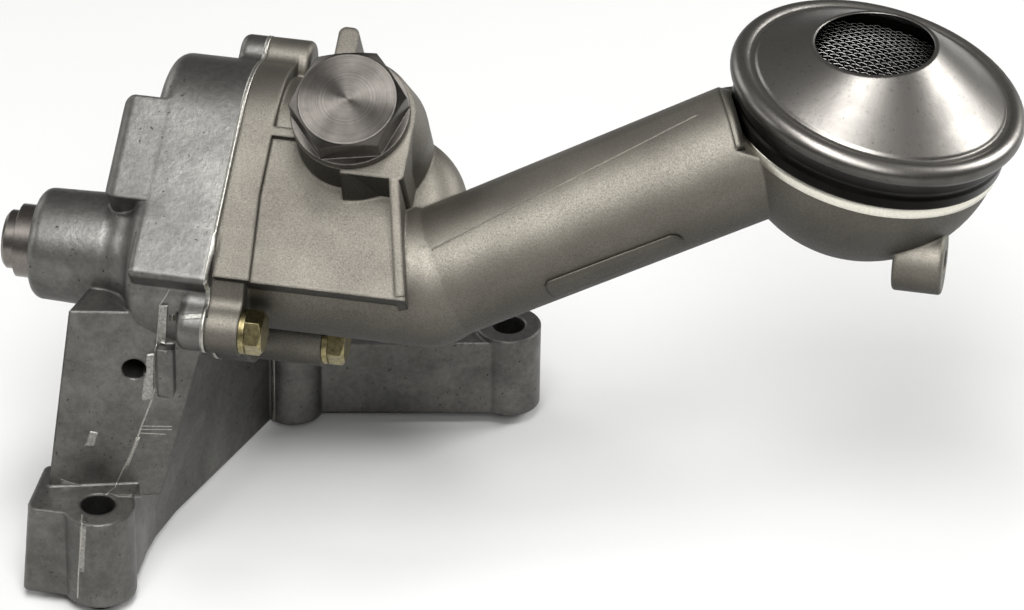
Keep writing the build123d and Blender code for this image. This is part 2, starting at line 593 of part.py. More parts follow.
# ---------------------------------------------------------------- moving pieces and their bearings
def drive_shaft():
    """Drive shaft with its collar and spigot at the driven end, and a threaded hole in the spigot."""
    shaft = rod(SHAFT_RADIUS, BOSS_FACE_X, SHAFT_END_X)
    shaft += rod(SHAFT_COLLAR_RADIUS, BOSS_FACE_X - SHAFT_COLLAR_LENGTH, BOSS_FACE_X + SHAFT_COLLAR_LENGTH - 0.2)
    tip_x = BOSS_FACE_X - SHAFT_COLLAR_LENGTH - SPIGOT_LENGTH
    spigot = rod(SPIGOT_RADIUS, tip_x, BOSS_FACE_X)
    spigot = chamfer(spigot.faces().sort_by(Axis.X)[0].edges(), 0.8)
    shaft += spigot
    shaft -= rod(SPIGOT_THREAD_RADIUS, tip_x, tip_x + SPIGOT_THREAD_DEPTH)
    shaft -= key_slot()
    return to_world(shaft)


def drive_gear():
    """Driving gear, held on the shaft by its key."""
    gear = slab(gear_outline(), GEAR_START, GEAR_START + GEAR_WIDTH)
    gear -= rod(SHAFT_RADIUS, GEAR_START, GEAR_START + GEAR_WIDTH)
    gear -= key_slot()
    return to_world(gear)


def idler_gear():
    """Driven gear, half a tooth out of step so that its gaps take the drive gear's teeth."""
    outline = Rot(0, 0, 180 + 180 / GEAR_TEETH) * gear_outline()
    gear = slab(outline, GEAR_START, GEAR_START + GEAR_WIDTH)
    gear -= rod(AXLE_RADIUS + BUSH_WALL, GEAR_START, GEAR_START + GEAR_WIDTH)
    return to_world(Pos(0, CENTRE_DISTANCE, 0) * gear)


def idler_bush():
    """Bronze bush pressed into the idler gear."""
    bush = rod(AXLE_RADIUS + BUSH_WALL, GEAR_START, GEAR_START + GEAR_WIDTH, CENTRE_DISTANCE)
    bush -= rod(AXLE_RADIUS + RUNNING_CLEARANCE, GEAR_START, GEAR_START + GEAR_WIDTH, CENTRE_DISTANCE)
    return to_world(bush)


def idler_axle():
    """Fixed axle of the idler gear, pressed into the body."""
    return to_world(rod(AXLE_RADIUS, AXLE_START, JOINT_X + 6 - 0.3, CENTRE_DISTANCE))


def shaft_bush(x_from, x_to):
    """Bronze bush of the drive shaft."""
    bush = rod(BUSH_RADIUS, x_from, x_to) - rod(SHAFT_RADIUS + RUNNING_CLEARANCE, x_from, x_to)
    return to_world(bush)


# ---------------------------------------------------------------- relief valve
PLUNGER_BOTTOM = RELIEF_BORE_BOTTOM
PLUNGER_FLOOR = 3.0
PLUG_SEAT = RELIEF_BOSS_TOP + SEAL_RING_HEIGHT
PLUG_POCKET_RADIUS = SPRING_RADIUS + SPRING_WIRE + 0.8
SPRING_BOTTOM = PLUNGER_BOTTOM + PLUNGER_FLOOR
SPRING_TOP = PLUG_SEAT - 2.0


def relief_plunger():
    """Cup-shaped valve plunger, closed end on the seat."""
    radius = RELIEF_BORE_RADIUS - RUNNING_CLEARANCE
    plunger = post(radius, PLUNGER_BOTTOM, PLUNGER_BOTTOM + PLUNGER_LENGTH, RELIEF_X, RELIEF_Q)
    plunger -= post(
        radius - PLUNGER_WALL, PLUNGER_BOTTOM + PLUNGER_FLOOR, PLUNGER_BOTTOM + PLUNGER_LENGTH, RELIEF_X, RELIEF_Q
    )
    return to_world(plunger)


def relief_spring():
    """Coil spring between the plunger and the plug."""
    height = SPRING_TOP - SPRING_BOTTOM - 2 * SPRING_WIRE - 0.2
    path = Helix(height / SPRING_TURNS, height, SPRING_RADIUS)
    section = Plane(origin=path @ 0, z_dir=path % 0) * Circle(SPRING_WIRE)
    coil = sweep(section, path)
    return to_world(Pos(RELIEF_X, RELIEF_Q, SPRING_BOTTOM + SPRING_WIRE + 0.1) * coil)


def relief_plug():
    """Hexagon plug of the relief valve, with its collar and a pocket for the spring."""
    plug = post(PLUG_THREAD_RADIUS, RELIEF_BOSS_TOP - PLUG_THREAD_LENGTH, PLUG_SEAT, RELIEF_X, RELIEF_Q)
    plug += post(PLUG_COLLAR_RADIUS, PLUG_SEAT, PLUG_SEAT + PLUG_COLLAR_HEIGHT, RELIEF_X, RELIEF_Q)
    base = PLUG_SEAT + PLUG_COLLAR_HEIGHT
    hexagon = extrude(RegularPolygon(PLUG_FLATS / 2, 6, major_radius=False, rotation=PLUG_TURN), PLUG_HEX_HEIGHT)
    crown = Cone(PLUG_FLATS / 2 + 11.0, PLUG_FLATS / 2 - 0.5, PLUG_HEX_HEIGHT, align=UP)
    plug += Pos(RELIEF_X, RELIEF_Q, base) * (hexagon & crown)
    plug -= post(PLUG_POCKET_RADIUS, RELIEF_BOSS_TOP - PLUG_THREAD_LENGTH - 1, SPRING_TOP, RELIEF_X, RELIEF_Q)
    return to_world(plug)


def plug_sealing_ring():
    """Flat sealing ring under the plug's collar."""
    ring = post(PLUG_THREAD_RADIUS + SEAL_RING_WALL, RELIEF_BOSS_TOP, PLUG_SEAT, RELIEF_X, RELIEF_Q)
    ring -= post(PLUG_THREAD_RADIUS, RELIEF_BOSS_TOP, PLUG_SEAT, RELIEF_X, RELIEF_Q)
    return to_world(ring)


# ---------------------------------------------------------------- fasteners
def washer(seat_x, q, p):
    """Plain washer under a bolt head."""
    ring = rod(WASHER_RADIUS, seat_x, seat_x + WASHER_THICKNESS, q, p)
    return to_world(ring - rod(BOLT_HOLE_RADIUS, seat_x, seat_x + WASHER_THICKNESS, q, p))


def hexagon_bolt(seat_x, q, p):
    """M6 hexagon bolt whose shank ends in the body."""
    tip_x = JOINT_X - BODY_EAR_LENGTH + 0.6
    under_head = seat_x + WASHER_THICKNESS
    head = extrude(RegularPolygon(BOLT_HEAD_FLATS / 2, 6, major_radius=False), BOLT_HEAD_HEIGHT)
    head &= Cone(BOLT_HEAD_FLATS / 2 + 5.0, BOLT_HEAD_FLATS / 2 - 0.3, BOLT_HEAD_HEIGHT, align=UP)
    head = Pos(under_head, q, p) * Rot(0, 90, 0) * head
    return to_world(head + rod(BOLT_RADIUS, tip_x, under_head, q, p))


def locating_sleeve():
    """Sleeve that locates the front foot on the engine, pressed into the foot."""
    sleeve = post(SLEEVE_RADIUS, -SLEEVE_PROUD, 0) + post(SLEEVE_RADIUS + SLEEVE_PRESS, 0, SLEEVE_LENGTH - SLEEVE_PROUD)
    return sleeve - post(FOOT_BORE_RADIUS, -SLEEVE_PROUD, SLEEVE_LENGTH - SLEEVE_PROUD)


# ---------------------------------------------------------------- strainer
def strainer_cap():
    """Sheet-steel cap: crimped skirt on the bowl's ring, rolled bead, and a cone skewed to a level mouth."""
    mouth = Plane(origin=(RIM_X + MOUTH_SHIFT, RIM_Y, RIM_Z + MOUTH_RISE), z_dir=(0, 0, 1))
    base = Plane(origin=RIM.from_local_coords(Vector(0, 0, CONE_BASE_RISE)), x_dir=RIM.x_dir, z_dir=RIM.z_dir)
    outer_cone = loft(Sketch() + [base * Circle(CONE_BASE_RADIUS), mouth * Circle(MOUTH_RADIUS + CAP_SHEET)])
    lower = base.offset(-CAP_SHEET)
    inner_cone = loft(Sketch() + [lower * Circle(CONE_BASE_RADIUS - 0.4), mouth * Circle(MOUTH_RADIUS)])
    skirt = BOWL_RADIUS + 0.2
    step = (RIM_SEAT + BEAD_RISE - BEAD_ROLL) / 3
    outline = [(0, CONE_BASE_RISE), (CONE_BASE_RADIUS, CONE_BASE_RISE), (CONE_BASE_RADIUS + 0.6, CAP_LAND_RISE)]
    outline += [(CAP_RADIUS, CAP_LAND_RISE)]
    outline += [(CAP_RADIUS, BEAD_RISE - BEAD_ROLL), (skirt + CRIMP_STEP, BEAD_RISE - BEAD_ROLL)]
    outline += [(skirt + CRIMP_STEP, -RIM_SEAT + 2 * step), (skirt, -RIM_SEAT + 1.4 * step)]
    outline += [(skirt + CRIMP_STEP / 2, -RIM_SEAT + step), (skirt + CRIMP_STEP / 2, -RIM_SEAT), (0, -RIM_SEAT)]
    solid = revolve(Plane.XZ * Polygon(*outline, align=None), Axis.Z)
    solid += Pos(0, 0, BEAD_RISE) * Torus(CAP_RADIUS, BEAD_ROLL)
    inside = Pos(0, 0, -RIM_SEAT) * Cylinder(MESH_RADIUS, RIM_SEAT + CONE_BASE_RISE - CAP_SHEET, align=UP)
    shell = RIM.location * (solid - inside)
    return (shell + outer_cone) - inner_cone


def strainer_mesh():
    """Woven wire screen, a shallow dome held all round in the cap's bead."""
    radius = (MESH_RADIUS**2 + MESH_DOME**2) / (2 * MESH_DOME)
    centre = MESH_DOME - radius
    dome = Pos(0, 0, centre) * (Sphere(radius) - Sphere(radius - MESH_THICKNESS))
    dome &= Cylinder(MESH_RADIUS - 0.3, MESH_DOME, align=UP)
    band = Cylinder(MESH_RADIUS - 0.3, MESH_THICKNESS, align=UP)
    band -= Cylinder(MESH_RADIUS - 3.0, MESH_THICKNESS, align=UP)
    return RIM.location * (Pos(0, 0, MESH_RISE) * (dome + band))


def outlet_seal():
    """Sealing ring in the outlet face."""
    seal = Torus(OUTLET_SEAL_RADIUS, OUTLET_SEAL_WIRE - 0.1)
    return Pos(OUTLET_X, OUTLET_Y, OUTLET_SEAL_WIRE) * seal


LONG_SEAT_X = COVER_FACE_X + LONG_BOSS_LENGTH
PIECES = {
    "pump_body": pump_body(),
    "pump_cover": pump_cover(),
    "drive_shaft": drive_shaft(),
    "drive_gear": drive_gear(),
    "drive_gear_key": to_world(key_slot()),
    "idler_axle": idler_axle(),
    "idler_gear": idler_gear(),
    "idler_bush": idler_bush(),
    "front_shaft_bush": shaft_bush(BOSS_FACE_X + SHAFT_COLLAR_LENGTH, CHAMBER_START),
    "rear_shaft_bush": shaft_bush(JOINT_X, SHAFT_END_X),
    "relief_plunger": relief_plunger(),
    "relief_spring": relief_spring(),
    "relief_plug": relief_plug(),
    "plug_sealing_ring": plug_sealing_ring(),
    "cover_bolts": Compound([hexagon_bolt(COVER_FACE_X, q, p) for q, p in SHORT_BOLTS]),
    "cover_bolt_washers": Compound(
        [washer(COVER_FACE_X, q, p) for q, p in SHORT_BOLTS] + [washer(LONG_SEAT_X, *LONG_BOLT)]
    ),
    "long_cover_bolt": hexagon_bolt(LONG_SEAT_X, *LONG_BOLT),
    "cover_dowels": Compound(
        [to_world(rod(DOWEL_RADIUS, JOINT_X - DOWEL_LENGTH / 2, JOINT_X + DOWEL_LENGTH / 2, q, p)) for q, p in DOWELS]
    ),
    "front_foot_sleeve": locating_sleeve(),
    "outlet_seal": outlet_seal(),
    "strainer_cap": strainer_cap(),
    "strainer_mesh": strainer_mesh(),
}

os.makedirs("parts", exist_ok=True)
for name, piece in PIECES.items():
    export_step(piece, f"parts/{name}.step")
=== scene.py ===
# %% [markdown]
# # Engine oil pump with its pickup strainer
# A gear pump hangs under a crankcase. Its housing is die-cast aluminium, its cover, suction tube and
# strainer bowl are one sand casting, and the loose parts are steel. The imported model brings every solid
# in metres, so this file only gives the solids their finish and adds the details too fine to be solids.

# %% Load the frame
import math
import bmesh
import bpy
from mathutils import Matrix, Vector
from mathutils.bvhtree import BVHTree


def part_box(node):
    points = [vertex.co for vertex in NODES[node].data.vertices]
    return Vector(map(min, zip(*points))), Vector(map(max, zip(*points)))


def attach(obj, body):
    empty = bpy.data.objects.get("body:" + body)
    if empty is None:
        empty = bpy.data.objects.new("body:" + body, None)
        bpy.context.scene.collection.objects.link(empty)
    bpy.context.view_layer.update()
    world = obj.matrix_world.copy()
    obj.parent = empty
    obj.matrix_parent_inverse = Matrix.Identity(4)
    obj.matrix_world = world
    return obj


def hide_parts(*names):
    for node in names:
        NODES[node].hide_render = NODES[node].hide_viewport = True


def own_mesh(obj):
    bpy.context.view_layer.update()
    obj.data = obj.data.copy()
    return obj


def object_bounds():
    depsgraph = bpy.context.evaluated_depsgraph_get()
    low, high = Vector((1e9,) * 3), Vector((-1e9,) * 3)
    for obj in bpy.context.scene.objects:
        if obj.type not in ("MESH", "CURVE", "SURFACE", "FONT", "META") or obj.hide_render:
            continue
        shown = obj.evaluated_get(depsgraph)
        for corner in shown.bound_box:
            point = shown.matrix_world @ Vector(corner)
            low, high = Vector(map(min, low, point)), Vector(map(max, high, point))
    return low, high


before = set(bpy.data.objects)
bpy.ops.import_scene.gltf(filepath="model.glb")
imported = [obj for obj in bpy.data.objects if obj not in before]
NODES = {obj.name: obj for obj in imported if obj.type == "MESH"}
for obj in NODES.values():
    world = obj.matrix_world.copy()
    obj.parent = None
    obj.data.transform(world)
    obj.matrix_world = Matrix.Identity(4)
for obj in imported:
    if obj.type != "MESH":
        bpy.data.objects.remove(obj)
CAD_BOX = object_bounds()
MM = 0.001
print(len(NODES), "solids, box", [list(corner) for corner in CAD_BOX])

# %% [markdown]
# ## The camera
# A long lens about 1.4 m away looks down at the pump from the front, a little from the right. The three
# directions below are the camera's own right, up and back, so its turn needs no tracking constraint. The
# lens's length is counted in pixels of the render, and the sensor's width turns that into millimetres.

# %% Camera
AZIMUTH = math.radians(10.5)
ELEVATION = math.radians(34)
ROLL = math.radians(1.0)
LENS_PIXELS = 5400
PICTURE_WIDTH = 1024
PICTURE_HEIGHT = 610
SENSOR_MM = 36
DISTANCE = 1.4
AIM = Vector((0.070, 0.060, 0.0715))
AIM_PIXEL = (413.77, 263.45)

back = Vector((
    math.sin(AZIMUTH) * math.cos(ELEVATION),
    -math.cos(AZIMUTH) * math.cos(ELEVATION),
    math.sin(ELEVATION),
))
level = Vector((math.cos(AZIMUTH), math.sin(AZIMUTH), 0))
rise = back.cross(level)
right = level * math.cos(ROLL) + rise * math.sin(ROLL)
up = rise * math.cos(ROLL) - level * math.sin(ROLL)
across = (AIM_PIXEL[0] - PICTURE_WIDTH / 2) * DISTANCE / LENS_PIXELS
above = (PICTURE_HEIGHT / 2 - AIM_PIXEL[1]) * DISTANCE / LENS_PIXELS
eye = AIM - right * across - up * above + back * DISTANCE

lens = bpy.data.cameras.new("long_lens")
lens.sensor_width = SENSOR_MM
lens.lens = LENS_PIXELS * SENSOR_MM / PICTURE_WIDTH
lens.clip_start = 0.05
camera = bpy.data.objects.new("camera", lens)
camera.matrix_world = Matrix((
    (right.x, up.x, back.x, eye.x),
    (right.y, up.y, back.y, eye.y),
    (right.z, up.z, back.z, eye.z),
    (0, 0, 0, 1),
))
bpy.context.scene.collection.objects.link(camera)
bpy.context.scene.camera = camera
print("camera at", eye)

# %% [markdown]
# ## Colours and nodes
# Every finish below is a small tree of nodes. One function adds a node, sets its values and links its
# inputs, so each material reads as a list of what feeds what. Colours are written as sRGB hex values, and
# one function turns them to the linear values that the shaders work in.

# %% Colours and nodes
def linear(code):
    """The linear colour of an sRGB hex value such as '8c8c88'."""
    parts = [int(code[i:i + 2], 16) / 255 for i in (0, 2, 4)]
    return [c / 12.92 if c <= 0.04045 else ((c + 0.055) / 1.055) ** 2.4 for c in parts] + [1.0]


def add(tree, kind, settings=None, values=None, links=None, stops=None):
    """Adds one node: settings are its properties, values its sockets, links the sockets that feed it.

    stops are the places and colours of a colour ramp; a plain number stands for that grey.
    """
    node = tree.nodes.new(kind)
    for name, value in (settings or {}).items():
        setattr(node, name, value)
    for name, value in (values or {}).items():
        node.inputs[name].default_value = value
    for name, source in (links or {}).items():
        tree.links.new(source, node.inputs[name])
    if stops:
        while len(node.color_ramp.elements) < len(stops):
            node.color_ramp.elements.new(0.5)
        for element, (position, colour) in zip(node.color_ramp.elements, stops):
            element.position = position
            element.color = colour if isinstance(colour, list) else [colour] * 3 + [1.0]
    return node


def new_material(name):
    """An empty material with its Principled shader, and the object coordinates in metres."""
    material = bpy.data.materials.new(name)
    material.use_nodes = True
    tree = material.node_tree
    tree.nodes.clear()
    shader = add(tree, "ShaderNodeBsdfPrincipled")
    add(tree, "ShaderNodeOutputMaterial", links={"Surface": shader.outputs["BSDF"]})
    place = add(tree, "ShaderNodeTexCoord").outputs["Object"]
    return material, tree, shader, place


print("mid grey 808080 is", round(linear("808080")[0], 3), "in linear light")

# %% [markdown]
# ## Floor
# A large sheet of pale matt paper is the whole background, and it takes the shadow. A grid of one face is
# enough for it. It lies just under the lowest point of the pump, so the feet don't share a plane with it.

# %% World and floor
SKY_STRENGTH = 0.16
FLOOR_HALF = 12.0
FLOOR_GAP = 0.2 * MM

world = bpy.data.worlds.new("studio")
world.use_nodes = True
bpy.context.scene.world = world
world.node_tree.nodes["Background"].inputs["Color"].default_value = linear("f4f3f1")
world.node_tree.nodes["Background"].inputs["Strength"].default_value = SKY_STRENGTH
bpy.context.scene.view_settings.view_transform = "Standard"

sheet_of_paper = bmesh.new()
bmesh.ops.create_grid(sheet_of_paper, x_segments=1, y_segments=1, size=FLOOR_HALF)
bmesh.ops.translate(sheet_of_paper, verts=sheet_of_paper.verts, vec=(0, 0, CAD_BOX[0][2] - FLOOR_GAP))
floor = bpy.data.objects.new("floor", bpy.data.meshes.new("floor"))
sheet_of_paper.to_mesh(floor.data)
sheet_of_paper.free()
bpy.context.scene.collection.objects.link(floor)

# Matt paper scatters light evenly, so it shows soft shadows and no reflections.
paper, tree, shader, place = new_material("matt_paper_floor")
shader.inputs["Base Color"].default_value = linear("d4d4d3")
shader.inputs["Roughness"].default_value = 0.9
floor.data.materials.append(paper)
print("floor at", round(CAD_BOX[0][2], 4))

# %% [markdown]
# ## Light
# One broad lamp stands in front and above, as over a workbench, and a wide weaker one lies lower in front.
# Faces turned up and forward are bright and the undersides stay dark, which gives cast metal its depth; the
# castings' finishes add painted shade to their undersides as well. A small lamp overhead puts the streak on
# the cap's cone, and three more draw the edges from the sides and the back, so that the pump can be looked
# at from all round. Area lamps are used because their size softens both the shadow and the highlight, as a
# softbox does.

# %% Lamps
LOOKED_AT = Vector((0.09, 0.05, 0.07))


def lamp(name, azimuth, elevation, distance, size, power):
    """A soft square lamp that looks at the pump's middle from a direction given as the camera's is."""
    a, e = math.radians(azimuth), math.radians(elevation)
    away = Vector((math.sin(a) * math.cos(e), -math.cos(a) * math.cos(e), math.sin(e)))
    data = bpy.data.lights.new(name, "AREA")
    data.size = size
    data.energy = power
    light = bpy.data.objects.new(name, data)
    light.location = LOOKED_AT + away * distance
    light.rotation_euler = (-away).to_track_quat("-Z", "Y").to_euler()
    bpy.context.scene.collection.objects.link(light)


lamp("bench_lamp", azimuth=2, elevation=60, distance=1.00, size=0.50, power=9.2)
lamp("top_lamp", azimuth=0, elevation=84, distance=1.00, size=0.22, power=2.7)
lamp("low_front_lamp", azimuth=16, elevation=43, distance=1.20, size=0.60, power=5.6)
lamp("right_lamp", azimuth=124, elevation=30, distance=1.00, size=0.40, power=6.5)
lamp("left_lamp", azimuth=-78, elevation=22, distance=1.00, size=0.35, power=1.8)
lamp("back_lamp", azimuth=238, elevation=24, distance=1.10, size=0.50, power=2.2)
print(len(bpy.data.lights), "lamps")

# %% [markdown]
# ## What all the finishes share
# Cast and machined metal is never perfectly sharp, so a Bevel node rounds the shading at every edge of the
# solids, and a bump at the real size of the grain pushes the normal about on top of that. Spots, grain and
# dirt all darken a tone in the same way: a pattern goes through a ramp and multiplies it. Painted shade
# darkens the undersides and upright sides too, and there the pattern is simply how far up the surface faces.

# %% Helpers for the finishes
# A Mix node has sockets for numbers and vectors too, with the same names, so its colour sockets are counted.
DARKEN = {"data_type": "RGBA", "blend_type": "MULTIPLY"}
MIX_FACTOR, MIX_A, MIX_B, MIX_RESULT = 0, 6, 7, 2
BEVEL_RAYS = 6


def shaded(tree, tone, pattern, stops):
    """The tone darkened by a pattern that has gone through the stops."""
    shade = add(tree, "ShaderNodeValToRGB", links={"Fac": pattern}, stops=stops).outputs["Color"]
    product = add(tree, "ShaderNodeMix", DARKEN, {MIX_FACTOR: 1.0}, {MIX_A: tone, MIX_B: shade})
    return product.outputs[MIX_RESULT]


def worn_skin(tree, lumps, depth, edge):
    """The normal of a skin with lumps of the depth, whose edges are rounded to a radius; both in metres."""
    rounded = add(tree, "ShaderNodeBevel", {"samples": BEVEL_RAYS}, {"Radius": edge}).outputs["Normal"]
    links = {"Height": lumps, "Normal": rounded}
    return add(tree, "ShaderNodeBump", {}, {"Strength": 1.0, "Distance": depth}, links).outputs["Normal"]


def painted_underside_shade(tree, tone, below, beside):
    """The tone with painted shade: times below where the skin faces down, beside where it is upright, 1
    above.
    """
    facing = add(tree, "ShaderNodeNewGeometry").outputs["Normal"]
    upward = add(
        tree, "ShaderNodeVectorMath", {"operation": "DOT_PRODUCT"}, {1: (0, 0, 1)}, {0: facing}
    ).outputs["Value"]
    share = add(tree, "ShaderNodeMapRange", {}, {"From Min": -1.0, "From Max": 1.0}, {"Value": upward})
    return shaded(tree, tone, share.outputs["Result"], [(0.12, below), (0.45, beside), (0.66, 1.0)])


print("helpers ready")

# %% [markdown]
# ## Die-cast aluminium
# The housing is pressure die-cast. Its skin is smooth and satin, with cloudy flow marks about 17 mm across,
# a very fine orange peel and dark specks of about a millimetre where the skin is open. It is a metal, so its
# colour is the base colour and it has no separate highlight colour. The clouds also change the roughness,
# which is what makes them show in a highlight.

# %% Die-cast aluminium
CAST_EDGE = 1.3 * MM
CLOUD_SIZE = 17 * MM
PEEL_SIZE = 1.6 * MM
SPECK_SIZE = 1.1 * MM

die_cast, tree, shader, place = new_material("die_cast_aluminium_satin_skin")
clouds = add(
    tree, "ShaderNodeTexNoise", {},
    {"Scale": 1 / CLOUD_SIZE, "Detail": 5.0, "Roughness": 0.62, "Distortion": 0.5}, {"Vector": place},
).outputs["Fac"]
peel = add(
    tree, "ShaderNodeTexNoise", {},
    {"Scale": 1 / PEEL_SIZE, "Detail": 4.0, "Roughness": 0.7, "Distortion": 0.0}, {"Vector": place},
).outputs["Fac"]
specks = add(
    tree, "ShaderNodeTexNoise", {},
    {"Scale": 1 / SPECK_SIZE, "Detail": 2.0, "Roughness": 0.5, "Distortion": 0.8}, {"Vector": place},
).outputs["Fac"]
tone = add(
    tree, "ShaderNodeValToRGB", links={"Fac": clouds},
    stops=[(0.32, linear("6a6966")), (0.5, linear("787774")), (0.7, linear("888783"))],
).outputs["Color"]
tone = shaded(tree, tone, peel, [(0.3, 0.72), (0.7, 1.0)])
tone = shaded(tree, tone, specks, [(0.26, 0.30), (0.32, 1.0)])
# Painted shade: the undersides are darkened to 0.46 and the upright sides to 0.70 of the tone.
tone = painted_underside_shade(tree, tone, below=0.46, beside=0.70)
satin = add(tree, "ShaderNodeValToRGB", links={"Fac": clouds}, stops=[(0.3, 0.50), (0.7, 0.40)])
shader.inputs["Metallic"].default_value = 1.0
tree.links.new(tone, shader.inputs["Base Color"])
tree.links.new(satin.outputs["Color"], shader.inputs["Roughness"])
tree.links.new(worn_skin(tree, peel, depth=0.08 * MM, edge=CAST_EDGE), shader.inputs["Normal"])
print(die_cast.name)

# %% [markdown]
# ## Sand-cast aluminium
# The cover is sand cast and shot-blasted. The sand leaves a skin of grains, duller and warmer than a die
# casting's. They are drawn at 0.42 mm, a little coarser than the finest sand, so that they show in the
# render. A grain that stands proud is brighter and smoother than the hollows between, so one noise drives
# the colour, the roughness and the bump.

# %% Sand-cast aluminium
PATCH_SIZE = 24 * MM
GRAIN_SIZE = 0.42 * MM

sand_cast, tree, shader, place = new_material("sand_cast_aluminium_blasted")
patches = add(
    tree, "ShaderNodeTexNoise", {},
    {"Scale": 1 / PATCH_SIZE, "Detail": 4.0, "Roughness": 0.55, "Distortion": 0.0}, {"Vector": place},
).outputs["Fac"]
grains = add(
    tree, "ShaderNodeTexNoise", {},
    {"Scale": 1 / GRAIN_SIZE, "Detail": 3.0, "Roughness": 0.75, "Distortion": 0.0}, {"Vector": place},
).outputs["Fac"]
tone = add(
    tree, "ShaderNodeValToRGB", links={"Fac": patches},
    stops=[(0.3, linear("6e6a63")), (0.7, linear("858178"))],
).outputs["Color"]
tone = shaded(tree, tone, grains, [(0.32, 0.72), (0.5, 0.90), (0.66, 1.0)])
# Painted shade: the undersides are darkened to 0.17 and the upright sides to 0.60 of the tone.
tone = painted_underside_shade(tree, tone, below=0.17, beside=0.60)
dull = add(tree, "ShaderNodeValToRGB", links={"Fac": grains}, stops=[(0.35, 0.60), (0.70, 0.44)])
shader.inputs["Metallic"].default_value = 1.0
tree.links.new(tone, shader.inputs["Base Color"])
tree.links.new(dull.outputs["Color"], shader.inputs["Roughness"])
tree.links.new(worn_skin(tree, grains, depth=0.065 * MM, edge=CAST_EDGE), shader.inputs["Normal"])
print(sand_cast.name)

# %% [markdown]
# ## Small parts
# The loose parts are too small to need a tree of nodes each. They share one recipe of two tones, a roughness
# and a fine bump, each at its own scale. Rubber uses it as well, and is the only one that isn't a metal.

# %% Small parts
def small_part_finish(name, dark, bright, roughness, size, height, edge, metallic=1.0):
    """A mottle of two tones, size metres across, with a bump of the same lumps and rounded edges."""
    material, tree, shader, place = new_material(name)
    mottle = add(
        tree, "ShaderNodeTexNoise", {},
        {"Scale": 1 / size, "Detail": 4.0, "Roughness": 0.65, "Distortion": 0.0}, {"Vector": place},
    ).outputs["Fac"]
    stops = [(0.34, linear(dark)), (0.66, linear(bright))]
    tone = add(tree, "ShaderNodeValToRGB", links={"Fac": mottle}, stops=stops).outputs["Color"]
    shader.inputs["Metallic"].default_value = metallic
    shader.inputs["Roughness"].default_value = roughness
    tree.links.new(tone, shader.inputs["Base Color"])
    tree.links.new(worn_skin(tree, mottle, height, edge), shader.inputs["Normal"])
    print(name)
    return material


# Ground steel is smooth and a little brown from its oil, so its highlights are narrow and warm.
ground = small_part_finish(
    "ground_steel", "706b66", "7d7873", roughness=0.30, size=0.9 * MM, height=0.004 * MM, edge=0.3 * MM
)
# Soft aluminium stays pale, so the ring reads as a light line under the dark plug.
ring_alloy = small_part_finish(
    "plain_aluminium_ring", "b3b0a8", "cbc8c0",
    roughness=0.36, size=1.5 * MM, height=0.02 * MM, edge=0.3 * MM,
)
# Chromate passivation gives the zinc on the bolts a dull, uneven yellow.
passivated = small_part_finish(
    "yellow_passivated_zinc_on_steel", "6f674b", "a0966f",
    roughness=0.30, size=1.4 * MM, height=0.02 * MM, edge=0.3 * MM,
)
# Drawn wire is smooth, so each round crossing of the weave catches a small bright point.
wire = small_part_finish(
    "black_steel_wire", "3a3a39", "6c6c6a", roughness=0.24, size=0.5 * MM, height=0.01 * MM, edge=0.05 * MM
)
# Blackening leaves steel nearly black, with a satin highlight.
blackened = small_part_finish(
    "blackened_steel", "1c1c1c", "2c2c2c", roughness=0.40, size=2 * MM, height=0.01 * MM, edge=0.3 * MM
)
# Freshly turned aluminium is the brightest surface on the pump.
machined = small_part_finish(
    "machined_aluminium_band", "cfccc0", "e2dfd2",
    roughness=0.30, size=0.6 * MM, height=0.01 * MM, edge=0.2 * MM,
)
# Wire tempered in oil is a dark even grey.
spring_steel = small_part_finish(
    "oil_tempered_spring_wire", "4e4c49", "5f5d59",
    roughness=0.34, size=0.8 * MM, height=0.005 * MM, edge=0.05 * MM,
)
# A trimmed edge of a casting is bare metal, so it draws a bright line on the dull skin.
trimmed = small_part_finish(
    "bright_trimmed_edge", "8f8d87", "b4b2aa", roughness=0.42, size=0.8 * MM, height=0.03 * MM, edge=0.1 * MM
)
# Where a file or the mould's insert touched the casting, its skin is brighter and more uneven.
rough_cast = small_part_finish(
    "rough_cast_aluminium", "7a7975", "a5a39d",
    roughness=0.46, size=0.7 * MM, height=0.05 * MM, edge=0.4 * MM,
)
# Rubber is black and dull, and isn't a metal.
seal = small_part_finish(
    "black_rubber", "161616", "202020",
    roughness=0.6, size=2 * MM, height=0.01 * MM, edge=0.2 * MM, metallic=0.0,
)

# %% [markdown]
# ## Oiled sheet steel
# The strainer cap is pressed from sheet steel and oiled. Its top is a blotchy grey-brown satin with specks
# of dust. The skirt and the underside of the bead carry painted shade, so the tone also falls with the
# height along the rim's axis. A dot product with that axis measures the height, which needs no UV map.

# %% Oiled sheet steel
RIM_CENTRE = Vector((0.1864, 0.071, 0.1315))
RIM_TILT = math.radians(11.7)
RIM = Matrix.Translation(RIM_CENTRE) @ Matrix.Rotation(RIM_TILT, 4, "Y")
RIM_AXIS = RIM.to_3x3() @ Vector((0, 0, 1))
SHADE_DARKEST_AT = -4 * MM
SHADE_ENDS_AT = 3.6 * MM
BLOTCH_SIZE = 14 * MM
DUST_SIZE = 0.9 * MM

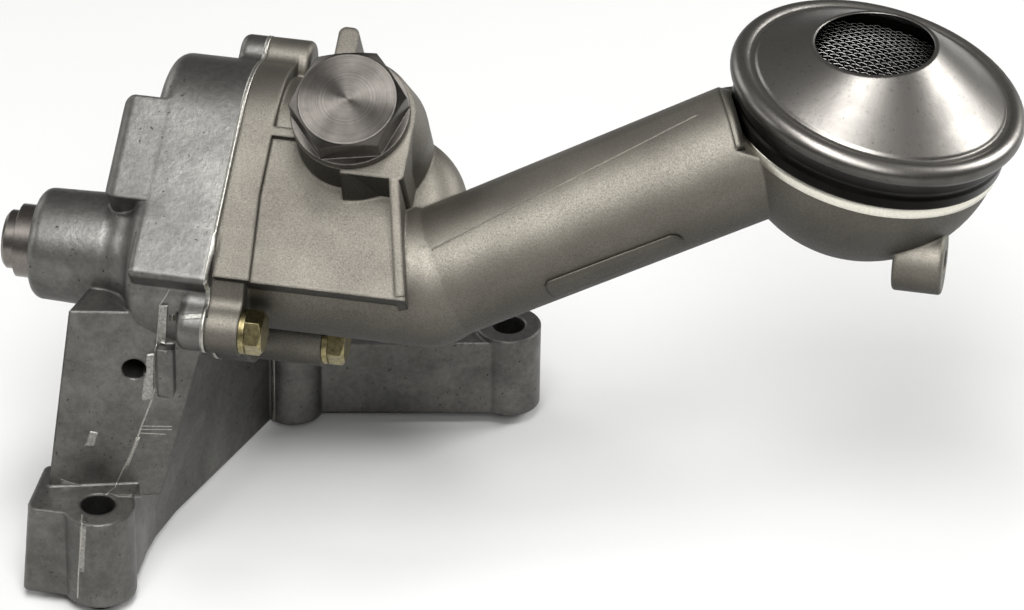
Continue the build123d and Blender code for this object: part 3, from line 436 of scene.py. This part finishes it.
sheet, tree, shader, place = new_material("oiled_sheet_steel")
from_rim = add(
    tree, "ShaderNodeVectorMath", {"operation": "SUBTRACT"}, {1: RIM.translation}, {0: place}
).outputs[0]
over_rim = add(
    tree, "ShaderNodeVectorMath", {"operation": "DOT_PRODUCT"}, {1: RIM_AXIS}, {0: from_rim}
).outputs["Value"]
shade_by_height = add(
    tree, "ShaderNodeMapRange", {}, {"From Min": SHADE_DARKEST_AT, "From Max": SHADE_ENDS_AT}, {"Value": over_rim}
).outputs["Result"]
blotches = add(
    tree, "ShaderNodeTexNoise", {},
    {"Scale": 1 / BLOTCH_SIZE, "Detail": 5.0, "Roughness": 0.6, "Distortion": 0.6}, {"Vector": place},
).outputs["Fac"]
dust = add(
    tree, "ShaderNodeTexNoise", {},
    {"Scale": 1 / DUST_SIZE, "Detail": 3.0, "Roughness": 0.6, "Distortion": 0.0}, {"Vector": place},
).outputs["Fac"]
tone = add(
    tree, "ShaderNodeValToRGB", links={"Fac": blotches},
    stops=[(0.3, linear("76736f")), (0.7, linear("8e8b86"))],
).outputs["Color"]
tone = shaded(tree, tone, dust, [(0.26, 0.55), (0.40, 1.0)])
# Painted shade: the skirt and the underside of the bead are darkened by their height along the rim's axis.
tone = shaded(tree, tone, shade_by_height, [(0.0, 0.04), (0.45, 0.20), (0.8, 0.50), (1.0, 1.0)])
satin = add(tree, "ShaderNodeValToRGB", links={"Fac": blotches}, stops=[(0.3, 0.40), (0.7, 0.32)])
shader.inputs["Metallic"].default_value = 1.0
tree.links.new(tone, shader.inputs["Base Color"])
tree.links.new(satin.outputs["Color"], shader.inputs["Roughness"])
tree.links.new(worn_skin(tree, dust, depth=0.02 * MM, edge=0.6 * MM), shader.inputs["Normal"])
print(sheet.name)

# %% [markdown]
# ## The turned plug
# The relief plug was faced on a lathe, so its face has fine rings round its axis. The rings stretch a
# highlight across them, which is the bow-tie seen on turned faces. The shader's tangent is therefore the
# direction round the plug's axis: the cross product of the axis and the place measured from the centre. The
# length of that product is the distance from the axis, so it also draws the rings.

# %% Gear frame and turned steel
SHAFT = Vector((0, 0.036, 0.0805))
GEAR_TILT = math.radians(32)
Q_WAY = Vector((0, math.cos(GEAR_TILT), math.sin(GEAR_TILT)))
P_WAY = Vector((0, -math.sin(GEAR_TILT), math.cos(GEAR_TILT)))
RELIEF_X = 57
RELIEF_Q = 30.4
PLUG_SEAT_P = 34
RING_SIZE = 0.45 * MM
STAIN_SIZE = 5 * MM


def in_gears(x, q, p):
    """A point in the gear frame, in mm: x along the shaft, q to the idler gear, p up the relief valve."""
    return SHAFT + Vector((x, 0, 0)) * MM + Q_WAY * q * MM + P_WAY * p * MM


turned, tree, shader, place = new_material("turned_steel_face")
plug_centre = in_gears(RELIEF_X, RELIEF_Q, PLUG_SEAT_P)
arm = add(
    tree, "ShaderNodeVectorMath", {"operation": "SUBTRACT"}, {1: plug_centre}, {0: place}
).outputs[0]
round_axis = add(
    tree, "ShaderNodeVectorMath", {"operation": "CROSS_PRODUCT"}, {0: P_WAY}, {1: arm}
).outputs[0]
around = add(tree, "ShaderNodeVectorMath", {"operation": "NORMALIZE"}, links={0: round_axis}).outputs[0]
reach = add(tree, "ShaderNodeVectorMath", {"operation": "LENGTH"}, links={0: round_axis}).outputs["Value"]
rings = add(
    tree, "ShaderNodeTexNoise", {"noise_dimensions": "1D"},
    {"Scale": 1 / RING_SIZE, "Detail": 4.0}, {"W": reach},
).outputs["Fac"]
stains = add(
    tree, "ShaderNodeTexNoise", {},
    {"Scale": 1 / STAIN_SIZE, "Detail": 4.0, "Roughness": 0.6, "Distortion": 0.0}, {"Vector": place},
).outputs["Fac"]
tone = add(
    tree, "ShaderNodeValToRGB", links={"Fac": stains},
    stops=[(0.35, linear("55524e")), (0.65, linear("65615d"))],
).outputs["Color"]
tone = shaded(tree, tone, rings, [(0.35, 0.78), (0.65, 1.0)])
shader.inputs["Metallic"].default_value = 1.0
shader.inputs["Roughness"].default_value = 0.35
shader.inputs["Anisotropic"].default_value = 0.92
tree.links.new(tone, shader.inputs["Base Color"])
tree.links.new(around, shader.inputs["Tangent"])
tree.links.new(worn_skin(tree, rings, depth=0.01 * MM, edge=0.4 * MM), shader.inputs["Normal"])
print(turned.name)

# %% [markdown]
# ## Finish every solid
# The solids keep their own meshes. Only the material in their slot changes. A list by name is the plainest
# way, and what isn't in it is ground steel: the shaft, gears, axle, bushes, plunger and dowels.

# %% Finish every solid
FINISHES = {
    "pump_body": die_cast, "pump_cover": sand_cast, "relief_plug": turned, "plug_sealing_ring": ring_alloy,
    "cover_bolts": passivated, "cover_bolt_washers": passivated, "long_cover_bolt": passivated,
    "strainer_cap": sheet, "front_foot_sleeve": blackened, "outlet_seal": seal, "strainer_mesh": wire,
}
for name, node in NODES.items():
    node.data.materials.clear()
    node.data.materials.append(FINISHES.get(name, ground))
print("finished", len(NODES), "solids")

# %% [markdown]
# ## Making new pieces
# A new piece is a bmesh that becomes an object at the origin, rides on the housing and takes its material.
# Wires and fine ridges are easiest as curves with a round bevel, and one function turns such a curve to a
# bmesh. A piece that is cut from a solid starts as a merged copy of it.

# %% Piece helpers
WELD = 0.002 * MM


def piece(name, mesh, material, body="housing"):
    """Turns a finished bmesh into an object that rides on a body."""
    bmesh.ops.recalc_face_normals(mesh, faces=mesh.faces)
    thing = bpy.data.objects.new(name, bpy.data.meshes.new(name))
    mesh.to_mesh(thing.data)
    mesh.free()
    thing.data.materials.append(material)
    for face in thing.data.polygons:
        face.use_smooth = True
    bpy.context.scene.collection.objects.link(thing)
    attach(thing, body)
    print(name, len(thing.data.polygons), "faces")
    return thing


def round_curve(name, radius, resolution, runs, capped):
    """A bmesh of a round wire along each run of points."""
    curve = bpy.data.curves.new(name + "_line", "CURVE")
    curve.dimensions = "3D"
    curve.bevel_depth = radius
    curve.bevel_resolution = resolution
    curve.use_fill_caps = capped
    for run in runs:
        spline = curve.splines.new("POLY")
        spline.points.add(len(run) - 1)
        for point, place in zip(spline.points, run):
            point.co = (*place, 1)
    carrier = bpy.data.objects.new(name + "_carrier", curve)
    bpy.context.scene.collection.objects.link(carrier)
    bpy.context.view_layer.update()
    mesh = bmesh.new()
    mesh.from_mesh(bpy.data.meshes.new_from_object(carrier))
    bpy.data.objects.remove(carrier)
    return mesh


def merged_copy(node, distance=WELD):
    """A bmesh of a solid with its loose triangles joined."""
    mesh = bmesh.new()
    mesh.from_mesh(NODES[node].data)
    bmesh.ops.remove_doubles(mesh, verts=mesh.verts, dist=distance)
    return mesh


print("piece helpers ready")

# %% [markdown]
# ## Relief spring
# The spring is wound from round wire and stands between the plunger and the plug. When oil lifts the plunger
# the spring gets shorter, which one rigid solid can't do. A merged copy of its solid takes its place, with a
# mesh of its own, and rides on the housing.

# %% Relief spring
FINE_WELD = 0.001 * MM

coil = merged_copy("relief_spring", FINE_WELD)
spring = piece("relief_coil_spring", coil, spring_steel)
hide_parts("relief_spring")
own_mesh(spring)

# %% [markdown]
# ## Strainer screen
# The screen is woven from dark wire of about 0.5 mm at a pitch of 1.45 mm, pressed to a shallow dome. A
# pattern on a plate would look flat from the side. A real wire passes over one neighbour and under the
# next, so each wire is a curve whose height swings with the weave, and the curve's round bevel gives it
# thickness.

# %% Woven screen
WIRE_PITCH = 1.45 * MM
WIRE_RADIUS = 0.26 * MM
WIRE_SWING = 0.9
SCREEN_RADIUS = 32.6 * MM
DOME_RISE = 6.0 * MM
DOME_BASE = 0.6 * MM
dome_radius = (SCREEN_RADIUS ** 2 + DOME_RISE ** 2) / (2 * DOME_RISE)


def on_screen(across, along, over):
    """Where a wire crosses another: over is 1 where it passes above and -1 where it passes below."""
    x, y = across * WIRE_PITCH, along * WIRE_PITCH
    dome = math.sqrt(dome_radius ** 2 - x * x - y * y) - dome_radius + DOME_RISE
    height = DOME_BASE + dome - WIRE_RADIUS + over * WIRE_RADIUS * WIRE_SWING
    return RIM @ Vector((x, y, height))


count = int(SCREEN_RADIUS / WIRE_PITCH)
wires = []
for row in range(-count, count + 1):
    steps = [
        step for step in range(-count, count + 1)
        if (step * step + row * row) * WIRE_PITCH ** 2 < (SCREEN_RADIUS - WIRE_PITCH) ** 2
    ]
    if len(steps) > 1:
        wires.append([on_screen(row, step, 1 if (step + row) % 2 else -1) for step in steps])
        wires.append([on_screen(step, row, 1 if (step + row + 1) % 2 else -1) for step in steps])
weave = round_curve("woven_strainer_screen", WIRE_RADIUS, resolution=1, runs=wires, capped=False)
screen = piece("woven_strainer_screen", weave, wire)
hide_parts("strainer_mesh")

# %% [markdown]
# ## Machined band of the bowl
# Under the cap the bowl's rim is turned bright, and its lower edge is broken. On the real pump a lathe tool
# makes it, and spinning a short profile round the rim's axis does the same here. The profile's root lies
# inside the bowl's wall, so no gap shows.

# %% Machined band
BAND_RADIUS = 34.95 * MM
BAND_ROOT = 34.3 * MM
BAND_STEPS = 160
BAND_PROFILE = [
    (BAND_ROOT, -12.9 * MM), (BAND_RADIUS, -12.4 * MM), (BAND_RADIUS, -9.6 * MM),
    (BAND_RADIUS - 0.25 * MM, -9.34 * MM), (BAND_ROOT, -9.34 * MM),
]

band = bmesh.new()
points = [band.verts.new((radius, 0, height)) for radius, height in BAND_PROFILE]
edges = [band.edges.new((a, b)) for a, b in zip(points, points[1:] + points[:1])]
bmesh.ops.spin(
    band, geom=points + edges, cent=(0, 0, 0), axis=(0, 0, 1), dvec=(0, 0, 0), angle=math.tau,
    steps=BAND_STEPS, use_merge=True,
)
bmesh.ops.transform(band, matrix=RIM, verts=band.verts)
piece("machined_bowl_band", band, machined)

# %% [markdown]
# ## Bright edge of the joint
# Where the housing meets the cover, its edge was trimmed after casting, which leaves a bright line all round
# the joint. A line drawn by hand would wander off it. So a copy of the housing is cut to a slice beside the
# joint, its widest loop of skin is kept, and the solidify operator gives it a little height, which follows
# the casting's own outline from every side.

# %% Bright edge of the joint
GEAR_CLEARANCE = 0.06 * MM
JOINT_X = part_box("drive_gear")[1][0] + GEAR_CLEARANCE
EDGE_WIDTH = 1.1 * MM
EDGE_HEIGHT = 0.14 * MM
JOINT_GAP = 0.02 * MM
LIES_ACROSS = 0.9


def skin_slice(node, low, high):
    """The skin of a casting between two planes across the shaft, without the faces that lie across it."""
    ring = merged_copy(node)
    for place, way in ((high, 1), (low, -1)):
        everything = ring.verts[:] + ring.edges[:] + ring.faces[:]
        bmesh.ops.bisect_plane(
            ring, geom=everything, plane_co=(place, 0, 0), plane_no=(way, 0, 0), clear_outer=True
        )
    flat = [face for face in ring.faces if abs(face.normal.x) > LIES_ACROSS]
    bmesh.ops.delete(ring, geom=flat, context="FACES")
    return ring


def keep_widest(mesh):
    """Deletes every loose part of a mesh but the one with the longest diagonal."""
    left, parts = set(mesh.faces), []
    while left:
        part, waiting = set(), [left.pop()]
        while waiting:
            face = waiting.pop()
            part.add(face)
            for other in [other for edge in face.edges for other in edge.link_faces if other in left]:
                left.discard(other)
                waiting.append(other)
        places = [vert.co for face in part for vert in face.verts]
        spans = [max(place[i] for place in places) - min(place[i] for place in places) for i in range(3)]
        parts.append((sum(span ** 2 for span in spans), part))
    widest = max(parts, key=lambda row: row[0])[1]
    bmesh.ops.delete(mesh, geom=[face for face in mesh.faces if face not in widest], context="FACES")


edge_ring = skin_slice("pump_body", JOINT_X - EDGE_WIDTH, JOINT_X - JOINT_GAP)
keep_widest(edge_ring)
bmesh.ops.recalc_face_normals(edge_ring, faces=edge_ring.faces)
bmesh.ops.solidify(edge_ring, geom=edge_ring.faces[:], thickness=-EDGE_HEIGHT)
piece("trimmed_joint_edge", edge_ring, trimmed)

# %% [markdown]
# ## Tube shoulder at the bowl
# The tube runs into the bowl close under the cap's bead. The solid leaves room round the skirt there, so the
# wall of that room is copied and drawn in towards the skirt, which closes the gap that would otherwise show.

# %% Tube shoulder
ROOM_RADIUS = 39.0 * MM
ROOM_FLOOR = -11.5 * MM
SHOULDER_RADIUS = 36.4 * MM
SHOULDER_TOP = -2.1 * MM
NEARLY = 0.05 * MM
to_rim = RIM.inverted()


def on_room_wall(face):
    """True for a face on the cylinder of room round the cap."""
    places = [to_rim @ vert.co for vert in face.verts]
    return all(
        abs(math.hypot(place.x, place.y) - ROOM_RADIUS) <= NEARLY and place.z >= ROOM_FLOOR
        for place in places
    )


shoulder = merged_copy("pump_cover")
elsewhere = [face for face in shoulder.faces if not on_room_wall(face)]
bmesh.ops.delete(shoulder, geom=elsewhere, context="FACES")
drawn = bmesh.ops.extrude_face_region(shoulder, geom=shoulder.faces[:])
for vert in [item for item in drawn["geom"] if isinstance(item, bmesh.types.BMVert)]:
    place = to_rim @ vert.co
    place.x, place.y = place.x * SHOULDER_RADIUS / ROOM_RADIUS, place.y * SHOULDER_RADIUS / ROOM_RADIUS
    place.z = min(place.z, SHOULDER_TOP)
    vert.co = RIM @ place
piece("tube_shoulder", shoulder, sand_cast)

# %% [markdown]
# ## Marks given as points of the render
# Flash lines, ridges and filed spots are fine marks on a casting's skin. Their places in space are awkward
# to work out, but easy to point at. So each is given by a few points as the camera sees them, in pixels of
# the render, and a ray through each point finds the casting. The mark sits on the surface there, also when
# it is seen from another side.

# %% Rays onto the castings
SURFACES = []
for name in ("pump_body", "pump_cover"):
    mesh = NODES[name].data
    corners = [vert.co.copy() for vert in mesh.vertices]
    SURFACES.append(BVHTree.FromPolygons(corners, [tuple(face.vertices) for face in mesh.polygons]))


def hit(px, py):
    """Where the ray through a point of the render first meets a casting, and its skin's normal there."""
    sideways = right * (px - PICTURE_WIDTH / 2) / LENS_PIXELS
    upwards = up * (PICTURE_HEIGHT / 2 - py) / LENS_PIXELS
    way = (-back + sideways + upwards).normalized()
    found = [surface.ray_cast(eye, way) for surface in SURFACES]
    found = sorted((f for f in found if f[0] is not None), key=lambda f: f[3])
    return (found[0][0], found[0][1]) if found else (None, None)


print("the middle of the render is", hit(PICTURE_WIDTH / 2, PICTURE_HEIGHT / 2)[0])

# %% [markdown]
# ## Ridges
# A flash line is where metal seeped between the two halves of the mould. It is a low round ridge, so it is a
# round wire sunk into the skin until only its crown stands out. A line that jumps from one face to another
# farther away is broken there.

# %% Ridges
SIGHT_STEP = 2.0
LONGEST_JUMP = 4 * MM


def ridge(name, pixels, width, height, material):
    """A low round ridge along points of the render: width across at the skin, its crown height above it."""
    radius = (width ** 2 / 4 + height ** 2) / (2 * height)
    runs = [[]]
    for (ax, ay), (bx, by) in zip(pixels, pixels[1:]):
        steps = max(2, int(math.dist((ax, ay), (bx, by)) / SIGHT_STEP))
        for step in range(steps):
            place, normal = hit(ax + (bx - ax) * step / steps, ay + (by - ay) * step / steps)
            if place is None:
                continue
            place = place - normal * (radius - height)
            if runs[-1] and (place - runs[-1][-1]).length > LONGEST_JUMP:
                runs.append([])
            runs[-1].append(place)
    lines = [run for run in runs if len(run) > 1]
    mesh = round_curve(name, radius, resolution=2, runs=lines, capped=True)
    return piece(name, mesh, material)


LEG_LINE = [
    (169.5, 289), (166, 296), (160, 305), (157, 343), (155, 352), (154.5, 369), (155, 387), (152, 399),
    (141.5, 426), (132, 453), (122.5, 470), (115, 487), (103.5, 497),
]
FOOT_LINE = [(82.5, 515), (80.5, 545), (78.5, 573), (77.5, 600)]
TUBE_LINE = [(432, 250), (520, 205), (610, 159), (700, 113)]
TOOL_MARKS = [
    [(141, 426), (174, 426.5)],
    [(140, 429.4), (174, 429.6)],
    [(139.5, 433), (168, 434.4)],
]
ridge("flash_line_leg", LEG_LINE, width=0.5 * MM, height=0.16 * MM, material=trimmed)
ridge("flash_line_foot", FOOT_LINE, width=0.5 * MM, height=0.16 * MM, material=trimmed)
ridge("parting_line_tube", TUBE_LINE, width=0.7 * MM, height=0.14 * MM, material=sand_cast)
for number, line in enumerate(TOOL_MARKS, 1):
    ridge(f"tool_mark_{number}", line, width=0.4 * MM, height=0.05 * MM, material=trimmed)

# %% [markdown]
# ## Steps, filed spots and the bare pad
# The mould's inserts leave small raised steps, and a file leaves flat bright spots. Each is a thin plate: a
# grid laid over four points of the render, lowered onto the skin and given a thickness that goes into it.
# Where a ray misses the casting, or a cell would span an edge, the plate has no cell. The pad on the tube
# is one such plate with rounded ends.

# %% Plates
LONGEST_CELL = 3 * MM
STEP_HEIGHT = 0.5 * MM
FILED_HEIGHT = 0.04 * MM
PAD_HEIGHT = 0.45 * MM


def plate(name, corners, height, material, cells=12, ends=0.0):
    """A thin raised plate whose four corners are points of the render; it follows the skin beneath it.

    ends is the share of its half length that each rounded end takes.
    """
    grid = bmesh.new()
    bmesh.ops.create_grid(grid, x_segments=cells, y_segments=cells, size=0.5)
    a, b, c, d = [Vector(corner) for corner in corners]
    missed = []
    for vert in grid.verts:
        u, v = 2 * vert.co.x, 2 * vert.co.y
        if abs(u) > 1 - ends:
            out = (abs(u) - 1 + ends) / ends
            u = math.copysign(1 - ends + ends * out * math.sqrt(1 - v * v / 2), u)
            v = v * math.sqrt(1 - out * out / 2)
        u, v = (u + 1) / 2, (v + 1) / 2
        spot = a.lerp(b, u).lerp(d.lerp(c, u), v)
        place, normal = hit(spot.x, spot.y)
        if place is None:
            missed.append(vert)
        else:
            vert.co = place + normal * height
    bmesh.ops.delete(grid, geom=missed, context="VERTS")
    torn = [edge for edge in grid.edges if edge.calc_length() > LONGEST_CELL]
    bmesh.ops.delete(grid, geom=torn, context="EDGES")
    bmesh.ops.recalc_face_normals(grid, faces=grid.faces)
    base = bmesh.ops.extrude_face_region(grid, geom=grid.faces[:])
    for vert in [item for item in base["geom"] if isinstance(item, bmesh.types.BMVert)]:
        vert.co += (AIM - eye).normalized() * 2 * height
    return piece(name, grid, material)


LEG_STEP = [(160.5, 304), (168, 304), (165.5, 346), (157.5, 344)]
LEG_PAD = [(147, 353), (154.5, 352), (153.5, 398), (141, 400)]
FILED_SPOTS = [
    [(90, 431), (98.5, 432), (94, 447), (83.5, 447)],
    [(60.5, 478.5), (69, 481.5), (82, 485.5), (59.5, 484)],
    [(108, 493), (143, 494), (141, 498), (116, 497)],
    [(136, 437), (140.5, 437), (128, 468), (123, 469)],
    [(80, 517), (87, 517), (84.5, 572), (79, 572)],
    [(141, 391), (153, 389), (151, 398), (143, 400)],
    [(169, 315), (208, 312), (208, 318), (169, 321)],
]
TUBE_PAD = [(541, 283), (676, 232), (688, 243), (553, 299)]
plate("raised_step_leg", LEG_STEP, STEP_HEIGHT, rough_cast)
plate("raised_step_pad", LEG_PAD, STEP_HEIGHT, rough_cast)
for number, spot in enumerate(FILED_SPOTS, 1):
    plate(f"filed_spot_{number}", spot, FILED_HEIGHT, rough_cast)
plate("bare_cast_pad", TUBE_PAD, PAD_HEIGHT, sand_cast, cells=40, ends=0.12)
